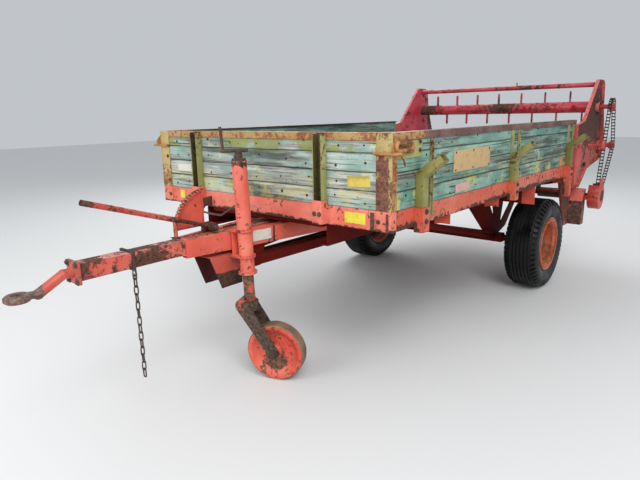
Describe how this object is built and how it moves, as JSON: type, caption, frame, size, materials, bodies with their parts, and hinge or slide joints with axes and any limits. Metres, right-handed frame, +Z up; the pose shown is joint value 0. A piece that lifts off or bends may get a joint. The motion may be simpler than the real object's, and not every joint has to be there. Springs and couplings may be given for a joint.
{
  "type": "single-axle beater manure spreader",
  "caption": "Board-sided single-axle manure spreader with tined rear beaters, scraper floor, side chain drive and a screw jack on a caster wheel.",
  "frame": {"origin": "middle of the overall outline on the ground, halfway between the tow eye's front and the lower beater's rear", "axes": "+X forward to the tow eye, +Y to the machine's left, +Z up"},
  "size_m": [5.631, 2.363, 1.862],
  "materials": {
    "red": "worn farm-machine red paint with rust showing through",
    "dark_red": "shaded dark red paint on the running gear",
    "rust": "rusted steel with traces of paint",
    "straw": "faded straw yellow paint on the posts and stakes",
    "board": "weathered boards with the remains of grey-green paint",
    "steel": "bare dull steel shafts and chain",
    "rubber": "black tyre rubber",
    "amber": "amber reflector"
  },
  "bodies": {
    "chassis": {"tow_eye": "rust", "drawbar_beam": "red", "drawbar_arms": "red", "drawbar_braces": "dark_red", "jack_bracket": "red", "jack_sleeve": "red", "pto_hood": "dark_red", "rear_gearbox": "dark_red", "quadrant": "red", "brake_rod": "steel", "safety_chain": "steel", "chassis_rails": "dark_red", "cross_members": "dark_red", "axle_stands": "dark_red", "axle_beam": "dark_red", "front_sill": "red", "side_sills": "red", "floor_boards": "board", "scraper_chain": "rust", "scraper_shafts": "steel", "front_planks": "board", "front_posts": "straw", "top_rails": "rust", "side_planks_left": "board", "side_planks_right": "board", "side_straps": "straw", "stakes": "straw", "corner_latches": "rust", "rear_frame_left": "red", "rear_frame_right": "red", "top_guard": "red", "drive_chain": "steel", "chain_guard": "red", "feed_box": "dark_red", "reflectors": "amber"},
    "wheel_left": {"tyre_left": "rubber", "rim_left": "rust"},
    "wheel_right": {"tyre_right": "rubber", "rim_right": "rust"},
    "jack_inner": {"jack_leg": "rust"},
    "caster": {"caster_fork": "rust"},
    "caster_roller": {"caster_wheel": "red"},
    "crank": {"jack_crank": "rust"},
    "lever": {"hand_lever": "red"},
    "upper_beater": {"beater_upper": "red"},
    "lower_beater": {"beater_lower": "red"},
    "cross_shaft": {"drive_shaft": "steel"},
    "long_shaft": {"pto_shaft": "steel"}
  },
  "joints": [
    {"name": "wheel_left_spin", "type": "hinge", "parent": "chassis", "child": "wheel_left", "pos_m": [-1.2485, 0.8915, 0.4], "axis": [0, 1, 0], "continuous": true},
    {"name": "wheel_right_spin", "type": "hinge", "parent": "chassis", "child": "wheel_right", "pos_m": [-1.2485, -0.9085, 0.4], "axis": [0, 1, 0], "continuous": true},
    {"name": "jack_slide", "type": "slide", "parent": "chassis", "child": "jack_inner", "axis": [0.0349, 0, 0.9994], "range_m": [-0.1, 0.14]},
    {"name": "caster_swivel", "type": "hinge", "parent": "jack_inner", "child": "caster", "pos_m": [1.5675, 0.1715, 0.66], "axis": [0.0349, 0, 0.9994], "continuous": true},
    {"name": "caster_spin", "type": "hinge", "parent": "caster", "child": "caster_roller", "pos_m": [1.49088, 0.31234, 0.17897], "axis": [0.9199, 0.3907, -0.0321], "continuous": true},
    {"name": "jack_crank_turn", "type": "hinge", "parent": "chassis", "child": "crank", "pos_m": [1.59071, 0.1715, 1.32459], "axis": [0.0349, 0, 0.9994], "continuous": true},
    {"name": "hand_lever_swing", "type": "hinge", "parent": "chassis", "child": "lever", "pos_m": [1.6645, -0.0105, 0.935], "axis": [0, -1, 0], "range_deg": [0, 62]},
    {"name": "upper_beater_spin", "type": "hinge", "parent": "chassis", "child": "upper_beater", "pos_m": [-2.5105, -0.0085, 1.585], "axis": [0, 1, 0], "continuous": true},
    {"name": "lower_beater_spin", "type": "hinge", "parent": "chassis", "child": "lower_beater", "pos_m": [-2.6505, -0.0085, 1.195], "axis": [0, 1, 0], "continuous": true},
    {"name": "cross_shaft_spin", "type": "hinge", "parent": "chassis", "child": "cross_shaft", "pos_m": [-2.2905, 0.5915, 0.708], "axis": [0, 1, 0], "continuous": true},
    {"name": "long_shaft_spin", "type": "hinge", "parent": "chassis", "child": "long_shaft", "pos_m": [0.2995, -0.0085, 0.708], "axis": [1, 0, 0], "continuous": true}
  ],
  "couplings": [
    {"joint": "lower_beater_spin", "follows": "upper_beater_spin", "ratio": 1.25},
    {"joint": "cross_shaft_spin", "follows": "upper_beater_spin", "ratio": 1.25},
    {"joint": "long_shaft_spin", "follows": "upper_beater_spin", "ratio": 1.25}
  ]
}
